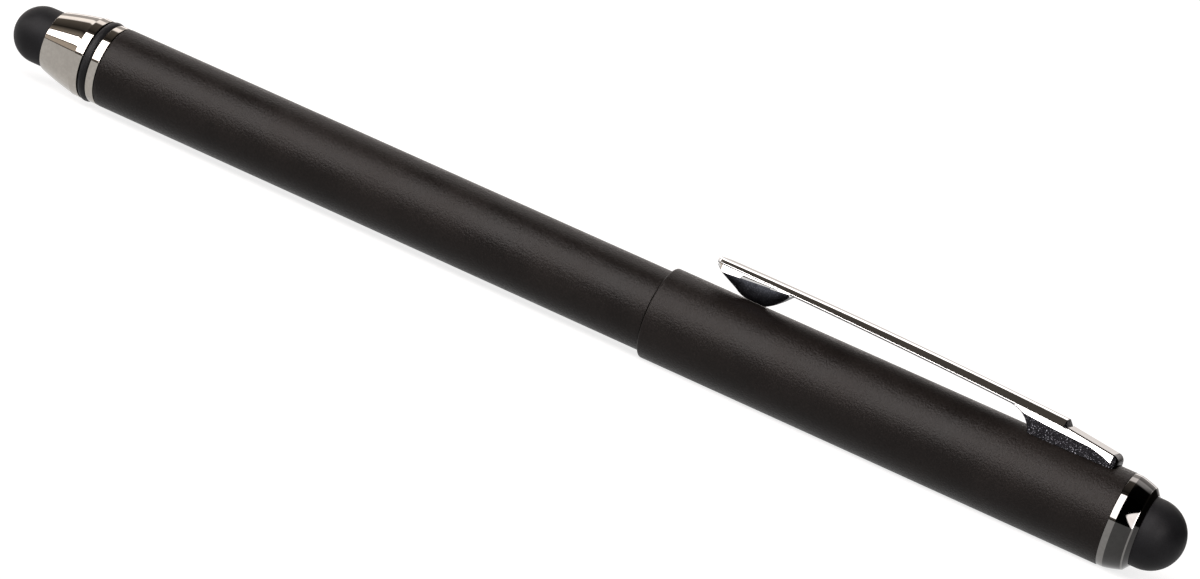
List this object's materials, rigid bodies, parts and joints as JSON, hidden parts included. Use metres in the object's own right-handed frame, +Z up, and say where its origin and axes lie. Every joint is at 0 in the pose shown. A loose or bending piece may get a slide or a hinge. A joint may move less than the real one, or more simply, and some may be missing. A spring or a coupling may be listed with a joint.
{
  "type": "stylus pen",
  "caption": "Slim capped ball pen in matte black with a rubber stylus dome in a chrome ferrule at each end, a pull-off cap and a sprung chrome pocket clip.",
  "frame": {"origin": "on the table under the middle of the pen's length, which lies on its cap with its clip straight up", "axes": "+X along the pen towards the small rear stylus tip, +Z up towards the clip"},
  "size_m": [0.146, 0.0106, 0.0137],
  "materials": {
    "black_paint": "matte, fine grain",
    "chrome": "mirror",
    "ring_rubber": "satin",
    "tip_rubber": "soft satin",
    "core_plastic": "moulded",
    "brass": "turned",
    "nickel_silver": "turned",
    "refill_steel": "drawn tube",
    "spring_steel": "bright wire and strip",
    "carbide": "polished",
    "plug_plastic": "moulded",
    "liner_plastic": "moulded",
    "grip_plastic": "fine matte",
    "ink": "paste"
  },
  "bodies": {
    "barrel": {"barrel_tube": "black_paint", "barrel_bush": "brass", "rear_ferrule": "chrome", "rear_o_ring": "ring_rubber", "rear_stylus_tip": "tip_rubber", "rear_tip_core": "core_plastic", "refill_spring": "spring_steel"},
    "refill": {"refill_tube": "refill_steel", "refill_plug": "plug_plastic", "ink_column": "ink", "refill_tip": "nickel_silver"},
    "ball": {"writing_ball": "carbide"},
    "section": {"grip_section": "grip_plastic", "section_o_ring": "ring_rubber", "nib_cone": "chrome"},
    "cap": {"cap_tube": "black_paint", "cap_liner": "liner_plastic", "cap_ferrule": "chrome", "cap_stylus_tip": "tip_rubber", "cap_tip_core": "core_plastic"},
    "clip": {"pocket_clip": "chrome", "clip_lock": "spring_steel"}
  },
  "joints": [
    {"name": "cap_pull", "type": "slide", "parent": "barrel", "child": "cap", "axis": [-1, 0, 0], "range_m": [0, 0.05]},
    {"name": "clip_flex", "type": "hinge", "parent": "cap", "child": "clip", "pos_m": [-0.06332, 0, 0.01058], "axis": [0, -1, 0], "range_deg": [0, 4], "stiffness_Nm_per_rad": 1.8, "springref_deg": -1.72},
    {"name": "refill_advance", "type": "slide", "parent": "barrel", "child": "refill", "axis": [-1, 0, 0], "range_m": [0, 0.0045], "deforming": ["refill_spring"]},
    {"name": "section_unscrew", "type": "hinge", "parent": "refill", "child": "section", "pos_m": [-0.01437, 0, 0.00529], "axis": [-1, 0, 0], "range_deg": [0, 2160]},
    {"name": "ball_roll", "type": "hinge", "parent": "refill", "child": "ball", "pos_m": [-0.04709, 0, 0.00529], "axis": [0, 1, 0], "continuous": true}
  ],
  "couplings": [
    {"joint": "section_unscrew", "follows": "refill_advance", "rad_per_m": 8377.6}
  ]
}
